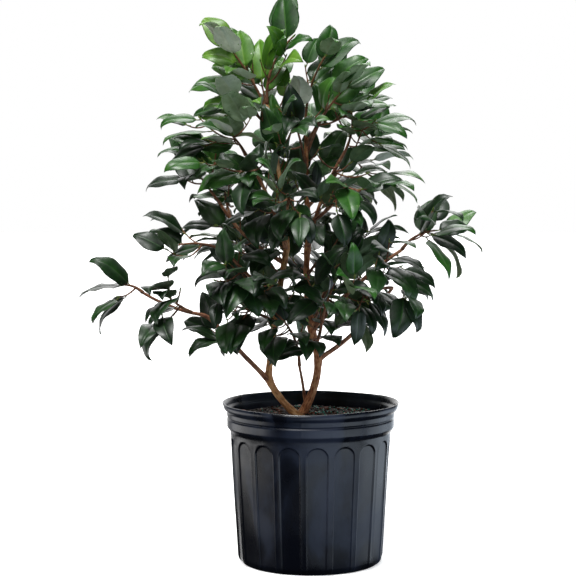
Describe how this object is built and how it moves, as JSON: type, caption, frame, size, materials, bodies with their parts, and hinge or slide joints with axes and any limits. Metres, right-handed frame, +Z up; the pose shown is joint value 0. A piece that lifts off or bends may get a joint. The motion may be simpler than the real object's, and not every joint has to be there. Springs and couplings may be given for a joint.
{
  "type": "camellia shrub in a nursery pot",
  "caption": "Young camellia shrub with several copper-brown stems and glossy dark green leaves, growing in a fluted blue-black plastic nursery pot.",
  "frame": {"origin": "centre of the pot's flat underside", "axes": "+Z up along the pot's axis, -Y towards the plant's face, +X to the right of someone who looks at the face"},
  "size_m": [0.5809, 0.4261, 0.8631],
  "materials": {
    "pot": "semi-gloss moulded blue-black plastic",
    "soil": "rough dark bark compost",
    "bark": "matte thin copper-brown bark",
    "foliage": "glossy dark evergreen leaf"
  },
  "bodies": {
    "root": {"pot": "pot", "soil": "soil", "stem_left_foot": "bark", "stem_left": "bark", "leader_left": "bark", "bough_left_upper": "bark", "bough_left_back": "bark", "bough_left_mid": "bark", "arm_left": "bark", "arm_left_end": "bark", "stem_right_foot": "bark", "stem_right": "bark", "leader_right": "bark", "bough_right_upper": "bark", "bough_right_low": "bark", "arm_right": "bark", "stem_middle": "bark", "bough_front_low": "bark", "bough_front_high": "bark", "bough_front_right": "bark", "bough_back_low": "bark", "bough_back_left": "bark", "bough_back_mid": "bark", "bough_back_high": "bark", "foliage_top": "foliage", "foliage_top_left": "foliage", "foliage_left_upper": "foliage", "foliage_top_back": "foliage", "foliage_right_top": "foliage", "foliage_right_upper": "foliage", "foliage_back_top": "foliage", "foliage_centre_upper": "foliage", "foliage_right_shoulder": "foliage", "foliage_right_mid": "foliage", "foliage_left_shoulder": "foliage", "foliage_left_front": "foliage", "foliage_left_side": "foliage", "foliage_left_back": "foliage", "foliage_left_mid": "foliage", "foliage_centre_left": "foliage", "foliage_arm_left": "foliage", "foliage_arm_left_tip": "foliage", "foliage_arm_right": "foliage", "foliage_arm_right_tip": "foliage", "foliage_right_low": "foliage", "foliage_centre_low": "foliage", "foliage_left_low": "foliage", "foliage_right_inner": "foliage", "foliage_front_low": "foliage", "foliage_front_mid": "foliage", "foliage_front_right": "foliage", "foliage_centre": "foliage", "foliage_back_low": "foliage", "foliage_back_right": "foliage", "foliage_back_left": "foliage", "foliage_back_mid": "foliage", "foliage_back_high": "foliage"}
  },
  "joints": []
}
